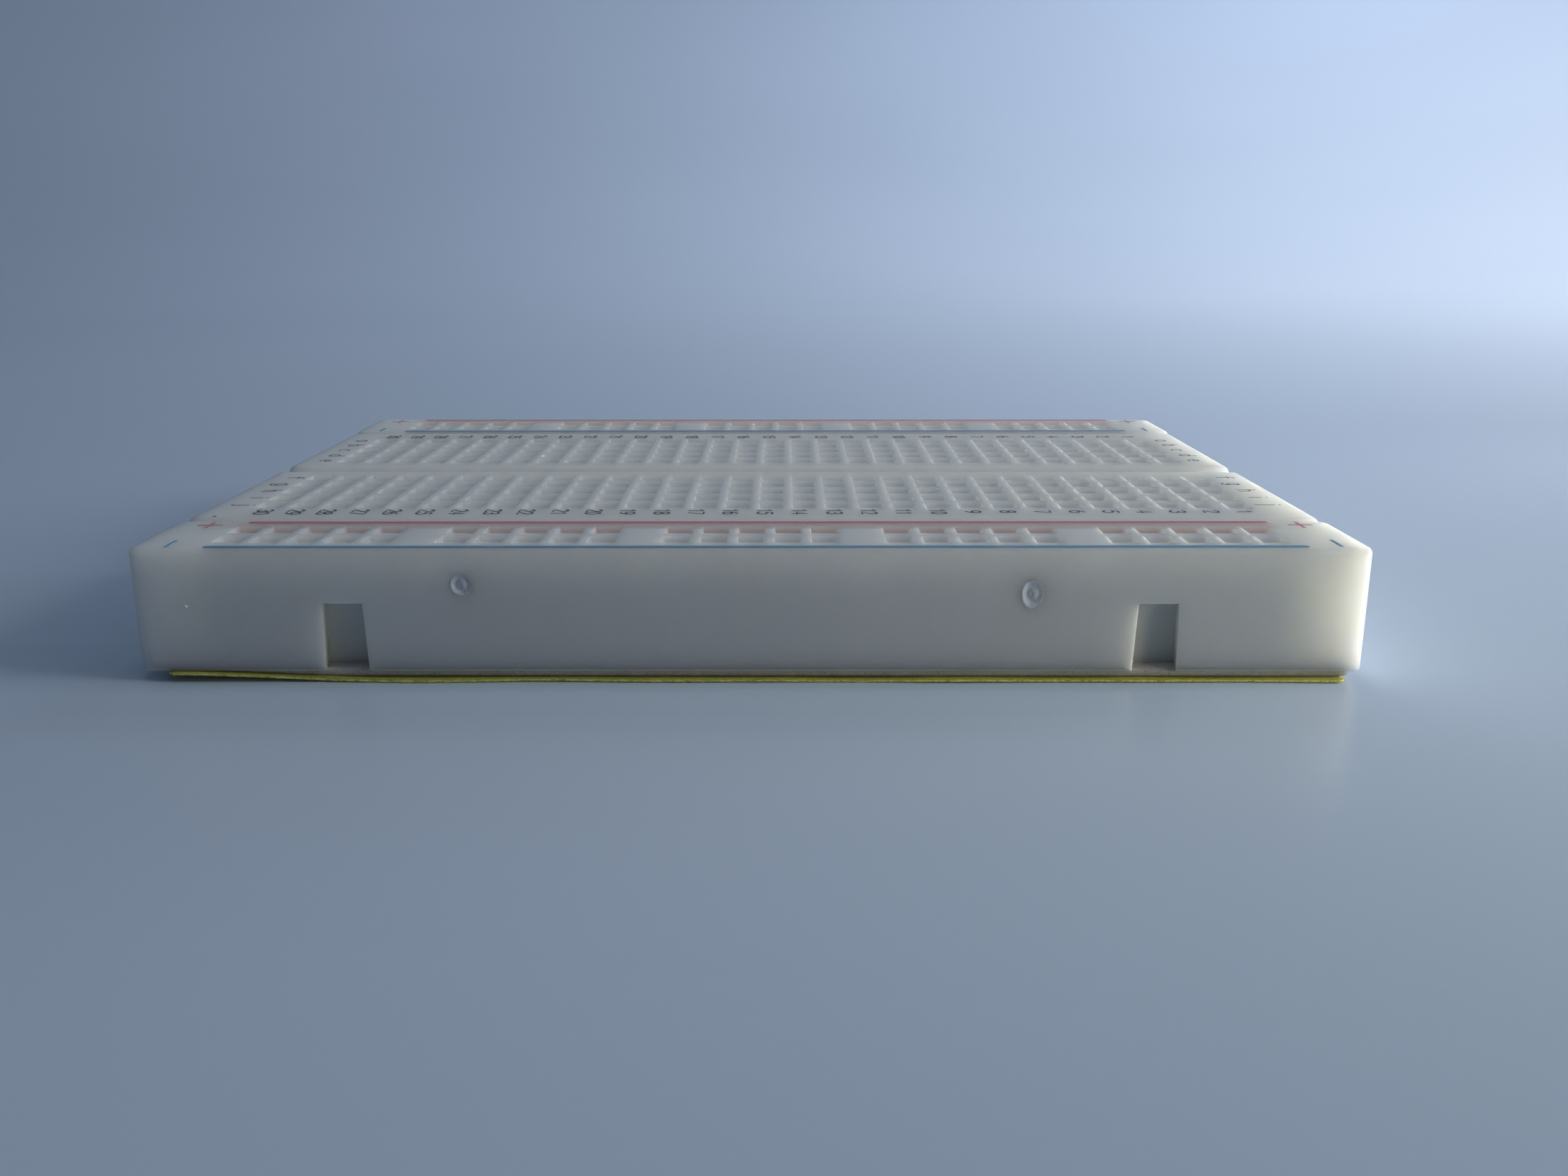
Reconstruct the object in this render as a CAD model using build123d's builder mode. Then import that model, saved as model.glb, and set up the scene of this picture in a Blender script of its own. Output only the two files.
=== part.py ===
from build123d import *
import os
from itertools import pairwise
from math import atan2, cos, degrees, radians, sin, tan

# Half-size solderless breadboard: a terminal strip between two identical bus rails, joined by
# dovetails, with sprung contacts inside, foam tape underneath and a peel-off liner.
# Millimetres, +Z up. X runs along the numbered columns and Y from the front rail to the rear.
# The origin is the centre of the liner's underside, where the board rests.

# Driving dimensions. Length and depth are at the foot of the housings, where they are largest.
PITCH = 2.54
COLUMNS = 30
ROWS_PER_BANK = 5
BOARD_LENGTH = 83.5
BOARD_DEPTH = 54.5
RAIL_DEPTH = 8.5
HOUSING_HEIGHT = 8.5
SEAM_GAP = 0.1

# Layers under the housings
LINER_THICKNESS = 0.25
ADHESIVE_GAP = 0.05
FOAM_THICKNESS = 0.5
FOAM_END_INSET = 0.65
FOAM_SIDE_INSET = 0.4
LINER_END_INSET = 1.3
LINER_SIDE_INSET = 0.1
LAYER_CORNER_RADIUS = 0.8
FOAM_NOTCH_CLEARANCE = 0.4

# Moulded shape of the housings
CORNER_RADIUS = 1.0
WALL_DRAFT = 1.6
RAIL_EDGE_RADIUS = 0.4
TERMINAL_EDGE_RADIUS = 0.7
RAVINE_WIDTH = 2.5
RAVINE_DEPTH = 2.4
RAVINE_EDGE_RADIUS = 0.25
WELL_MOUTH = 1.88
WELL_THROAT = 1.05
FUNNEL_DEPTH = 1.9
CEILING_THICKNESS = 2.5
CAVITY_WIDTH = 1.8
CAVITY_END_MARGIN = 0.2

# Dovetail joiners: drafted slots, open at the bottom, that the neighbouring strip's tabs fill
JOINER_X = 27.4
SLOT_MOUTH_TOP = 2.65
SLOT_MOUTH_BOTTOM = 3.0
SLOT_HEIGHT = 4.75
SLOT_DEPTH = 1.7
SLOT_FLARE = 12.0
TAB_SIDE_CLEARANCE = 0.09
TAB_END_CLEARANCE = 0.1
TAB_TOP_CLEARANCE = 0.25
FACE_LAP = 0.5

# Moulding marks on a rail's front face: x, depth below the top, width, height
FACE_MARKS = ((-19.3, 2.45, 1.35, 1.35), (18.9, 3.05, 1.4, 1.9))
FACE_MARK_DEPTH = 0.12
GATE_STUB_RADIUS = 0.2
GATE_STUB_HEIGHT = 0.07

# Contacts: folded spring sheet, pairs of fingers that pinch a lead above a common web
SHEET = 0.18
FINGER_WIDTH = 1.9
WEB_LIFT = 0.03
WEB_HALF_WIDTH = 0.5
KNEE_HEIGHT, KNEE_HALF_GAP = 0.9, 0.56
NIP_HEIGHT, NIP_HALF_GAP = 4.1, 0.06
LIP_HEIGHT, LIP_HALF_GAP = 5.1, 0.42
BEND_RADIUS = 0.3
FOLD_RADIUS = 0.15

# Each bus rail has two rows of five groups of five holes
RAIL_GROUPS = 5
HOLES_PER_GROUP = 5
GROUP_SPACING = 6 * PITCH

# Heights worked out from the layers
FOAM_FLOOR = LINER_THICKNESS + ADHESIVE_GAP
HOUSING_FLOOR = FOAM_FLOOR + FOAM_THICKNESS
HOUSING_TOP = HOUSING_FLOOR + HOUSING_HEIGHT
CLIP_FLOOR = HOUSING_FLOOR + WEB_LIFT

# Plan positions worked out from the pitch
TERMINAL_DEPTH = BOARD_DEPTH - 2 * RAIL_DEPTH
RAIL_Y = (TERMINAL_DEPTH + RAIL_DEPTH) / 2
BANK_Y = 3.5 * PITCH
COLUMN_X = [((COLUMNS + 1) / 2 - column) * PITCH for column in range(1, COLUMNS + 1)]
BANK_STEPS = [(row - (ROWS_PER_BANK - 1) / 2) * PITCH for row in range(ROWS_PER_BANK)]
RAIL_STEPS = [
    (group - (RAIL_GROUPS - 1) / 2) * GROUP_SPACING + (hole - (HOLES_PER_GROUP - 1) / 2) * PITCH
    for group in range(RAIL_GROUPS)
    for hole in range(HOLES_PER_GROUP)
]

# Angles worked out from the sizes
FUNNEL_TAPER = degrees(atan2((WELL_MOUTH - WELL_THROAT) / 2, FUNNEL_DEPTH))
JOINER_DRAFT = degrees(atan2((SLOT_MOUTH_BOTTOM - SLOT_MOUTH_TOP) / 2, SLOT_HEIGHT))


def dovetails(face_y, mouth, depth, height):
    """Two drafted dovetail prisms that cross a strip's long face and widen towards +Y."""
    inner_width = mouth + 2 * depth * tan(radians(SLOT_FLARE))
    start_y = face_y - FACE_LAP
    with BuildPart() as pair:
        with BuildSketch(Plane.XY.offset(HOUSING_FLOOR)):
            with Locations((-JOINER_X, start_y), (JOINER_X, start_y)):
                Trapezoid(
                    inner_width,
                    depth + FACE_LAP,
                    90 + SLOT_FLARE,
                    align=(Align.CENTER, Align.MIN),
                )
        extrude(amount=height, taper=JOINER_DRAFT)
    return pair.part


def housing_blank(centre_y, depth, edge_radius):
    """A strip without its holes: slots in its front face and tabs on its rear face."""
    front = centre_y - depth / 2 + SEAM_GAP / 2
    rear = centre_y + depth / 2 - SEAM_GAP / 2
    slots = dovetails(front, SLOT_MOUTH_BOTTOM, SLOT_DEPTH, SLOT_HEIGHT)
    tabs = dovetails(
        rear,
        SLOT_MOUTH_BOTTOM - 2 * TAB_SIDE_CLEARANCE,
        SLOT_DEPTH + SEAM_GAP - TAB_END_CLEARANCE,
        SLOT_HEIGHT - TAB_TOP_CLEARANCE,
    )
    with BuildPart() as blank:
        with BuildSketch(Plane.XY.offset(HOUSING_FLOOR)):
            with Locations((0, centre_y)):
                RectangleRounded(BOARD_LENGTH, rear - front, CORNER_RADIUS)
        extrude(amount=HOUSING_HEIGHT, taper=WALL_DRAFT)
        fillet(blank.faces().sort_by(Axis.Z)[-1].edges(), edge_radius)
        add(slots, mode=Mode.SUBTRACT)
        add(tabs)
    return blank.part


def contact_wells(points):
    """Square funnels over straight throats, reaching down from the top face."""
    with BuildPart() as wells:
        with BuildSketch(Plane.XY.offset(HOUSING_TOP)):
            with Locations(*points):
                Rectangle(WELL_MOUTH, WELL_MOUTH)
        extrude(amount=-FUNNEL_DEPTH, taper=FUNNEL_TAPER)
        with BuildSketch(Plane.XY.offset(HOUSING_TOP - CEILING_THICKNESS)):
            with Locations(*points):
                Rectangle(WELL_THROAT, WELL_THROAT)
        extrude(amount=CEILING_THICKNESS - FUNNEL_DEPTH)
    return wells.part


def contact_cavities(centres, length_x, length_y):
    """Straight pockets, open at the bottom, that the contacts are pushed up into."""
    with BuildPart() as cavities:
        with BuildSketch(Plane.XY.offset(HOUSING_FLOOR)):
            with Locations(*centres):
                Rectangle(length_x, length_y)
        extrude(amount=HOUSING_HEIGHT - CEILING_THICKNESS)
    return cavities.part


def spring_contact(steps):
    """A contact along Y on the XY plane, with a pair of fingers at each step."""
    length = steps[-1] - steps[0] + FINGER_WIDTH
    with BuildPart() as contact:
        with BuildSketch(Plane.XZ) as section:
            with BuildLine():
                Polyline(
                    (0, 0),
                    (WEB_HALF_WIDTH + SHEET, 0),
                    (KNEE_HALF_GAP + SHEET, KNEE_HEIGHT),
                    (NIP_HALF_GAP + SHEET, NIP_HEIGHT),
                    (LIP_HALF_GAP + SHEET, LIP_HEIGHT),
                    (LIP_HALF_GAP, LIP_HEIGHT),
                    (NIP_HALF_GAP, NIP_HEIGHT),
                    (KNEE_HALF_GAP, KNEE_HEIGHT),
                    (WEB_HALF_WIDTH, SHEET),
                    (0, SHEET),
                    close=True,
                )
            make_face()
            mirror(about=Plane.YZ)
            fillet(section.vertices().filter_by_position(Axis.Y, NIP_HEIGHT, NIP_HEIGHT), BEND_RADIUS)
            folds = section.vertices().group_by(Axis.Y)[0]
            fillet([folds.sort_by(Axis.X)[0], folds.sort_by(Axis.X)[-1]], FOLD_RADIUS)
        extrude(amount=length / 2, both=True)
        with BuildSketch(Plane.XY.offset(KNEE_HEIGHT)):
            for near, far in pairwise(steps):
                with Locations((0, (near + far) / 2)):
                    Rectangle(PITCH, far - near - FINGER_WIDTH)
        extrude(amount=LIP_HEIGHT, mode=Mode.SUBTRACT)
    return contact.part


def bus_rail(centre_y):
    """A bus rail's housing, with two rows of wells over two long cavities."""
    rows = (centre_y - PITCH / 2, centre_y + PITCH / 2)
    front = centre_y - RAIL_DEPTH / 2 + SEAM_GAP / 2
    cavity_length = RAIL_STEPS[-1] - RAIL_STEPS[0] + FINGER_WIDTH + 2 * CAVITY_END_MARGIN
    blank = housing_blank(centre_y, RAIL_DEPTH, RAIL_EDGE_RADIUS)
    wells = contact_wells([(x, y) for y in rows for x in RAIL_STEPS])
    cavities = contact_cavities([(0, y) for y in rows], cavity_length, CAVITY_WIDTH)
    face_plane = Plane(
        origin=(0, front, HOUSING_FLOOR),
        x_dir=(1, 0, 0),
        z_dir=(0, -cos(radians(WALL_DRAFT)), sin(radians(WALL_DRAFT))),
    )
    with BuildPart() as rail:
        add(blank)
        add(wells, mode=Mode.SUBTRACT)
        add(cavities, mode=Mode.SUBTRACT)
        with BuildSketch(face_plane):
            for x, drop, width, height in FACE_MARKS:
                with Locations((x, HOUSING_HEIGHT - drop)):
                    Ellipse(width / 2, height / 2)
        extrude(amount=-FACE_MARK_DEPTH, mode=Mode.SUBTRACT)
        with BuildSketch(face_plane.offset(-FACE_MARK_DEPTH)):
            for x, drop, _, _ in FACE_MARKS:
                with Locations((x, HOUSING_HEIGHT - drop)):
                    Circle(GATE_STUB_RADIUS)
        extrude(amount=GATE_STUB_HEIGHT)
    return rail.part


def terminal_housing():
    """The terminal strip's housing, with two banks of wells either side of the ravine."""
    cavity_length = BANK_STEPS[-1] - BANK_STEPS[0] + FINGER_WIDTH + 2 * CAVITY_END_MARGIN
    banks = (-BANK_Y, BANK_Y)
    blank = housing_blank(0, TERMINAL_DEPTH, TERMINAL_EDGE_RADIUS)
    wells = contact_wells([(x, bank + step) for bank in banks for step in BANK_STEPS for x in COLUMN_X])
    cavities = contact_cavities([(x, y) for y in banks for x in COLUMN_X], CAVITY_WIDTH, cavity_length)
    with BuildPart() as strip:
        add(blank)
        with Locations((0, 0, HOUSING_TOP)):
            Box(
                BOARD_LENGTH,
                RAVINE_WIDTH,
                2 * RAVINE_DEPTH,
                mode=Mode.SUBTRACT,
            )
        lips = strip.edges().filter_by(Axis.X).group_by(Axis.Z)[-1]
        fillet(lips.filter_by_position(Axis.Y, -RAVINE_WIDTH, RAVINE_WIDTH), RAVINE_EDGE_RADIUS)
        add(wells, mode=Mode.SUBTRACT)
        add(cavities, mode=Mode.SUBTRACT)
    return strip.part


def layer(centre_y, length, depth, floor, thickness):
    """A flat die-cut sheet with rounded corners."""
    with BuildPart() as sheet:
        with BuildSketch(Plane.XY.offset(floor)):
            with Locations((0, centre_y)):
                RectangleRounded(length, depth, LAYER_CORNER_RADIUS)
        extrude(amount=thickness)
    return sheet.part


def foam_pad(centre_y, strip_depth):
    """The foam tape under one strip, cut a little smaller than the strip."""
    length = BOARD_LENGTH - 2 * FOAM_END_INSET
    return layer(centre_y, length, strip_depth - 2 * FOAM_SIDE_INSET, FOAM_FLOOR, FOAM_THICKNESS)


def notched_foam_pad(centre_y, strip_depth):
    """A foam pad with two notches in its front edge that let the neighbour's tabs past."""
    front = centre_y - strip_depth / 2
    notch_width = SLOT_MOUTH_BOTTOM + 2 * SLOT_DEPTH * tan(radians(SLOT_FLARE)) + 2 * FOAM_NOTCH_CLEARANCE
    notch_depth = SLOT_DEPTH + FOAM_NOTCH_CLEARANCE
    with BuildPart() as pad:
        add(foam_pad(centre_y, strip_depth))
        with Locations((-JOINER_X, front, FOAM_FLOOR), (JOINER_X, front, FOAM_FLOOR)):
            Box(
                notch_width,
                2 * notch_depth,
                2 * FOAM_THICKNESS,
                mode=Mode.SUBTRACT,
            )
    return pad.part


def write(part, name):
    """Label a finished piece and write it to its own file."""
    part.label = name
    export_step(part, f"parts/{name}.step")


os.makedirs("parts", exist_ok=True)

# Housings
write(bus_rail(-RAIL_Y), "front_rail_housing")
write(terminal_housing(), "terminal_strip_housing")
write(bus_rail(RAIL_Y), "rear_rail_housing")

# Bus contacts, one under each row of each rail: the minus row is the one nearer the front
bus_contact = spring_contact(RAIL_STEPS)
for rail_name, rail_y in (("front_rail", -RAIL_Y), ("rear_rail", RAIL_Y)):
    for polarity, row_offset in (("minus", -PITCH / 2), ("plus", PITCH / 2)):
        with BuildPart() as bus:
            with Locations(Location((0, rail_y + row_offset, CLIP_FLOOR), (0, 0, 90))):
                add(bus_contact)
        write(bus.part, f"{rail_name}_{polarity}_contact")

# Terminal contacts, two to a column, one each side of the ravine
terminal_contact = spring_contact(BANK_STEPS)
for column, x in enumerate(COLUMN_X, start=1):
    with BuildPart() as column_contacts:
        with Locations((x, -BANK_Y, CLIP_FLOOR), (x, BANK_Y, CLIP_FLOOR)):
            add(terminal_contact)
    write(column_contacts.part, f"column_{column:02d}_contacts")

# Foam tape pads, one stuck to each housing
write(foam_pad(-RAIL_Y, RAIL_DEPTH), "front_rail_foam_pad")
write(notched_foam_pad(0, TERMINAL_DEPTH), "terminal_strip_foam_pad")
write(notched_foam_pad(RAIL_Y, RAIL_DEPTH), "rear_rail_foam_pad")

# One release liner under all three pads
liner_length = BOARD_LENGTH - 2 * LINER_END_INSET
liner_depth = BOARD_DEPTH - 2 * LINER_SIDE_INSET
write(layer(0, liner_length, liner_depth, 0, LINER_THICKNESS), "release_liner")
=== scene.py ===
import math

import bmesh
import bpy
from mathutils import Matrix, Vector, noise


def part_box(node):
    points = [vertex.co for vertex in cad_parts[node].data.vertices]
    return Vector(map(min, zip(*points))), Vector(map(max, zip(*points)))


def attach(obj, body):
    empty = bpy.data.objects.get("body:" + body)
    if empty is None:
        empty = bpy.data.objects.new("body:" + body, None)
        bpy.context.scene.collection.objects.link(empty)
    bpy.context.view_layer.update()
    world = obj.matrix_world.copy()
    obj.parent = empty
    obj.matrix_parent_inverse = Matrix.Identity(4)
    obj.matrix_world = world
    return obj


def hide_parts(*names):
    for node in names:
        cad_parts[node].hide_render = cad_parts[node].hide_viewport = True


# Looks of a half-size solderless breadboard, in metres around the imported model.
# X runs along the columns towards column 1, Y from the front rail to the rear rail, Z up.

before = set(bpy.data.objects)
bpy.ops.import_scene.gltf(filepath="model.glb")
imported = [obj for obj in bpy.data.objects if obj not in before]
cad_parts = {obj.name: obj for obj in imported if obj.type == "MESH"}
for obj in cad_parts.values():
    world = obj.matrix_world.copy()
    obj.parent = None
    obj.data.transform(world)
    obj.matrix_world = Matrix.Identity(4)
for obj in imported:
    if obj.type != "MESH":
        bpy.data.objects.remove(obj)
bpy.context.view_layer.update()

MM = 0.001
PITCH = 2.54 * MM

foot_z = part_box("terminal_strip_housing")[0].z
top_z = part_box("terminal_strip_housing")[1].z
liner_low, liner_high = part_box("release_liner")


def middle_x(node):
    low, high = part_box(node)
    return (low.x + high.x) / 2


COLUMN_X = [middle_x(f"column_{number:02d}_contacts") for number in range(1, 31)]
# Rows j to f lie in front of the ravine and e to a behind it; the ravine takes the room of two rows.
ROW_Y = {
    letter: (index - 5.5 + 2 * (index > 4)) * PITCH
    for index, letter in enumerate("jihgfedcba")
}
RAIL_Y = {
    rail: (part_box(f"{rail}_minus_contact")[0].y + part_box(f"{rail}_plus_contact")[1].y) / 2
    for rail in ("front_rail", "rear_rail")
}
SLOT_X = 27.4 * MM  # the dovetail slots' centres, each side of the middle
EDGE_TOLERANCE = 1e-7


# ---------------------------------------------------------------- node helpers


def new_material(name):
    """A new node material, its tree and its shader."""
    material = bpy.data.materials.new(name)
    material.use_nodes = True
    return material, material.node_tree, material.node_tree.nodes["Principled BSDF"]


def add_node(tree, kind, inputs=None, **settings):
    """A node with its settings, and with its sockets set or linked by name or number."""
    made = tree.nodes.new(kind)
    for key, value in settings.items():
        setattr(made, key, value)
    for key, value in (inputs or {}).items():
        if isinstance(value, bpy.types.NodeSocket):
            tree.links.new(value, made.inputs[key])
        else:
            made.inputs[key].default_value = value
    return made


def object_coords(tree, stretch=(1, 1, 1)):
    """Object coordinates, which are the row frame's metres, stretched along each axis."""
    coords = add_node(tree, "ShaderNodeTexCoord")
    mapping = add_node(tree, "ShaderNodeMapping", {"Vector": coords.outputs["Object"], "Scale": stretch})
    return mapping.outputs["Vector"]


def noise_fac(tree, vector, scale, detail=3.0, roughness=0.5, distortion=0.0):
    """Noise from 0 to 1. A scale of 1000 makes features about a millimetre across."""
    inputs = {
        "Vector": vector, "Scale": scale, "Detail": detail,
        "Roughness": roughness, "Distortion": distortion,
    }
    return add_node(tree, "ShaderNodeTexNoise", inputs).outputs["Fac"]


def ramp(tree, fac, *stops):
    """A colour ramp through (position, colour) stops."""
    made = add_node(tree, "ShaderNodeValToRGB", {"Fac": fac})
    while len(made.color_ramp.elements) < len(stops):
        made.color_ramp.elements.new(0.5)
    for element, (position, colour) in zip(made.color_ramp.elements, stops):
        element.position = position
        element.color = (*colour, 1.0)
    return made.outputs["Color"]


def remap(tree, value, low, high, to_low, to_high, smooth=False):
    """A value's range low to high mapped to the range to_low to to_high, and held at its ends."""
    inputs = {"Value": value, "From Min": low, "From Max": high, "To Min": to_low, "To Max": to_high}
    kind = "SMOOTHSTEP" if smooth else "LINEAR"
    return add_node(tree, "ShaderNodeMapRange", inputs, interpolation_type=kind).outputs["Result"]


def math_node(tree, operation, a, b=0.0):
    return add_node(tree, "ShaderNodeMath", {0: a, 1: b}, operation=operation).outputs["Value"]


def mix_colour(tree, fac, a, b):
    """Colour a where fac is 0 and colour b where it is 1; each is a socket or three numbers."""
    made = add_node(tree, "ShaderNodeMix", {"Factor": fac}, data_type="RGBA")
    colour_sockets = (made.inputs[6], made.inputs[7])
    for socket, value in zip(colour_sockets, (a, b)):
        if isinstance(value, bpy.types.NodeSocket):
            tree.links.new(value, socket)
        else:
            socket.default_value = (*value, 1.0)
    return made.outputs[2]


def bump(tree, height, strength, distance, normal=None):
    inputs = {"Height": height, "Strength": strength, "Distance": distance}
    if normal is not None:
        inputs["Normal"] = normal
    return add_node(tree, "ShaderNodeBump", inputs).outputs["Normal"]


# ------------------------------------------------------------------- materials

IVORY_LIGHT = (0.85, 0.86, 0.83)
IVORY_DEEP = (0.81, 0.82, 0.785)
IVORY_DUST = (0.90, 0.90, 0.88)
IVORY_SCATTER_COLOUR = (1.0, 0.95, 0.78)
IVORY_SCATTER = 8.0 * MM
SLOT_SCATTER_WEIGHT = 0.40

RED_LINE_OFFSET = 3.55 * MM
BLUE_LINE_OFFSET = -3.29 * MM

# Painted pink light: beside the red line the rails' plastic is tinted pink, standing in for light that
# shines through the red ink.
PAINTED_RED_LIGHT = (0.80, 0.54, 0.51)
RED_LIGHT_STRENGTH = 0.85
# Across the rail, from the red line: where the tint starts, where it is full and where it stops
RED_LIGHT_START, RED_LIGHT_FULL, RED_LIGHT_STOP = -2.1 * MM, -1.7 * MM, 0.35 * MM
# Along the rail, from its middle: where the tint starts to fade and where it is gone
RED_LIGHT_FADE_X, RED_LIGHT_END_X = 36.2 * MM, 38.2 * MM
# Below the top: how far down the tint is full, and where it is gone
RED_LIGHT_FULL_DEPTH, RED_LIGHT_END_DEPTH = 3.0 * MM, 6.0 * MM

# The room round each dovetail slot, a little larger than the slot and starting behind the front face
SLOT_ROOM_HALF_WIDTH = 2.0 * MM
SLOT_ROOM_DEPTHS = (0.2 * MM, 1.8 * MM)
SLOT_ROOM_HEIGHT = 4.9 * MM


def red_bleed(tree, vector, rail_y):
    """How strongly a rail's plastic is tinted with painted pink light, which stands in for light shining
    through the red line printed along it.
    """
    axes = add_node(tree, "ShaderNodeSeparateXYZ", {"Vector": vector})
    x, y, z = (axes.outputs[axis] for axis in "XYZ")
    line_y = rail_y + RED_LINE_OFFSET
    reach = remap(tree, y, line_y + RED_LIGHT_START, line_y + RED_LIGHT_FULL, 0.0, 1.0, smooth=True)
    stop = remap(tree, y, line_y, line_y + RED_LIGHT_STOP, 1.0, 0.0, smooth=True)
    across = math_node(tree, "MULTIPLY", reach, stop)
    from_middle = math_node(tree, "ABSOLUTE", x)
    along = remap(tree, from_middle, RED_LIGHT_FADE_X, RED_LIGHT_END_X, 1.0, 0.0, smooth=True)
    none_z, full_z = top_z - RED_LIGHT_END_DEPTH, top_z - RED_LIGHT_FULL_DEPTH
    depth = remap(tree, z, none_z, full_z, 0.0, RED_LIGHT_STRENGTH, smooth=True)
    return math_node(tree, "MULTIPLY", math_node(tree, "MULTIPLY", across, along), depth)


def slot_walls(tree, vector, front_y):
    """One on the walls of the dovetail slots in a housing's front face, and zero elsewhere."""
    axes = add_node(tree, "ShaderNodeSeparateXYZ", {"Vector": vector})
    x, y, z = (axes.outputs[axis] for axis in "XYZ")
    from_slot = math_node(tree, "SUBTRACT", math_node(tree, "ABSOLUTE", x), SLOT_X)
    across = math_node(tree, "LESS_THAN", math_node(tree, "ABSOLUTE", from_slot), SLOT_ROOM_HALF_WIDTH)
    behind = math_node(tree, "GREATER_THAN", y, front_y + SLOT_ROOM_DEPTHS[0])
    before = math_node(tree, "LESS_THAN", y, front_y + SLOT_ROOM_DEPTHS[1])
    under = math_node(tree, "LESS_THAN", z, foot_z + SLOT_ROOM_HEIGHT)
    deep = math_node(tree, "MULTIPLY", behind, before)
    return math_node(tree, "MULTIPLY", math_node(tree, "MULTIPLY", across, under), deep)


def ivory_plastic(name, front_y, rail_y=None):
    """Milky ivory ABS: translucent, faintly mottled, fine-grained, with dust and hairline scratches.

    With rail_y it gets painted pink light beside that rail's red line, standing in for light that shines
    through the line. The slots' walls scatter less, because light that goes into them would be lost.
    """
    material, tree, shader = new_material(name)
    vector = object_coords(tree)
    mottle = noise_fac(tree, vector, 210.0, 4.0, 0.6, 0.4)
    colour = ramp(tree, mottle, (0.30, IVORY_DEEP), (0.72, IVORY_LIGHT))
    flow = noise_fac(tree, object_coords(tree, (0.25, 1.0, 1.0)), 900.0, 2.0)
    colour = mix_colour(tree, remap(tree, flow, 0.3, 0.8, 0.0, 0.22), colour, IVORY_DEEP)
    # Painted pink light beside the red line, mixed into the base colour.
    if rail_y is not None:
        colour = mix_colour(tree, red_bleed(tree, vector, rail_y), colour, PAINTED_RED_LIGHT)
    specks = add_node(tree, "ShaderNodeTexVoronoi", {"Vector": vector, "Scale": 520.0, "Randomness": 1.0})
    dust = remap(tree, specks.outputs["Distance"], 0.015, 0.035, 1.0, 0.0)
    lint = math_node(tree, "GREATER_THAN", noise_fac(tree, vector, 130.0), 0.55)
    colour = mix_colour(tree, math_node(tree, "MULTIPLY", dust, lint), colour, IVORY_DUST)
    tree.links.new(colour, shader.inputs["Base Color"])

    grain = noise_fac(tree, vector, 8500.0, 2.0, 0.6)
    scratch_field = noise_fac(tree, object_coords(tree, (0.04, 1.0, 1.0)), 5200.0, 2.0, 0.7)
    scratches = remap(tree, scratch_field, 0.66, 0.72, 0.0, 1.0)
    patches = remap(tree, noise_fac(tree, vector, 90.0, 2.0), 0.45, 0.7, 0.0, 1.0)
    scratches = math_node(tree, "MULTIPLY", scratches, patches)
    rough = remap(tree, noise_fac(tree, vector, 600.0, 4.0, 0.7), 0.25, 0.75, 0.44, 0.58)
    rough = math_node(tree, "ADD", rough, math_node(tree, "MULTIPLY", scratches, 0.12))
    tree.links.new(rough, shader.inputs["Roughness"])
    normal = bump(tree, grain, 0.35, 0.012 * MM)
    normal = bump(tree, noise_fac(tree, vector, 260.0, 2.0), 0.25, 0.05 * MM, normal)
    normal = bump(tree, scratches, 0.2, -0.008 * MM, normal)
    tree.links.new(normal, shader.inputs["Normal"])

    shader.subsurface_method = "RANDOM_WALK"
    in_slot = slot_walls(tree, vector, front_y)
    weight = remap(tree, in_slot, 0.0, 1.0, 1.0, SLOT_SCATTER_WEIGHT)
    tree.links.new(weight, shader.inputs["Subsurface Weight"])
    shader.inputs["Subsurface Radius"].default_value = IVORY_SCATTER_COLOUR
    shader.inputs["Subsurface Scale"].default_value = IVORY_SCATTER
    shader.inputs["IOR"].default_value = 1.50
    shader.inputs["Specular IOR Level"].default_value = 0.25
    return material


TARNISHED_METAL = (0.46, 0.40, 0.31)
BRIGHT_METAL = (0.74, 0.71, 0.65)


def spring_metal():
    """Nickel-plated phosphor bronze: rolled grain along the sheet and small dark handling marks."""
    material, tree, shader = new_material("contact_spring_metal")
    vector = object_coords(tree)
    rolled = noise_fac(tree, object_coords(tree, (1.0, 1.0, 0.08)), 9000.0, 3.0)
    tarnish = noise_fac(tree, vector, 420.0, 4.0, 0.65)
    colour = ramp(tree, tarnish, (0.35, TARNISHED_METAL), (0.70, BRIGHT_METAL))
    tree.links.new(colour, shader.inputs["Base Color"])
    tree.links.new(remap(tree, rolled, 0.2, 0.8, 0.22, 0.42), shader.inputs["Roughness"])
    tree.links.new(bump(tree, rolled, 0.3, 0.004 * MM), shader.inputs["Normal"])
    shader.inputs["Metallic"].default_value = 1.0
    return material


INK_WEAR = 0.15


def ink(name, dark, light):
    """Screen-printed ink: slightly uneven cover, a soft sheen and small pinholes."""
    material, tree, shader = new_material(name)
    vector = object_coords(tree)
    cover = noise_fac(tree, vector, 2600.0, 3.0, 0.65)
    colour = ramp(tree, cover, (0.30, dark), (0.80, light))
    patchy = remap(tree, noise_fac(tree, vector, 700.0, 2.0), 0.55, 0.8, 0.0, INK_WEAR)
    colour = mix_colour(tree, patchy, colour, IVORY_DEEP)
    tree.links.new(colour, shader.inputs["Base Color"])
    tree.links.new(remap(tree, cover, 0.2, 0.8, 0.34, 0.55), shader.inputs["Roughness"])
    tree.links.new(bump(tree, cover, 0.3, 0.006 * MM), shader.inputs["Normal"])
    return material


FOAM_DARK = (0.50, 0.475, 0.48)
FOAM_LIGHT = (0.63, 0.605, 0.61)
FOAM_PORE = (0.30, 0.29, 0.32)
FOAM_SPECK = (0.20, 0.19, 0.22)


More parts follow.
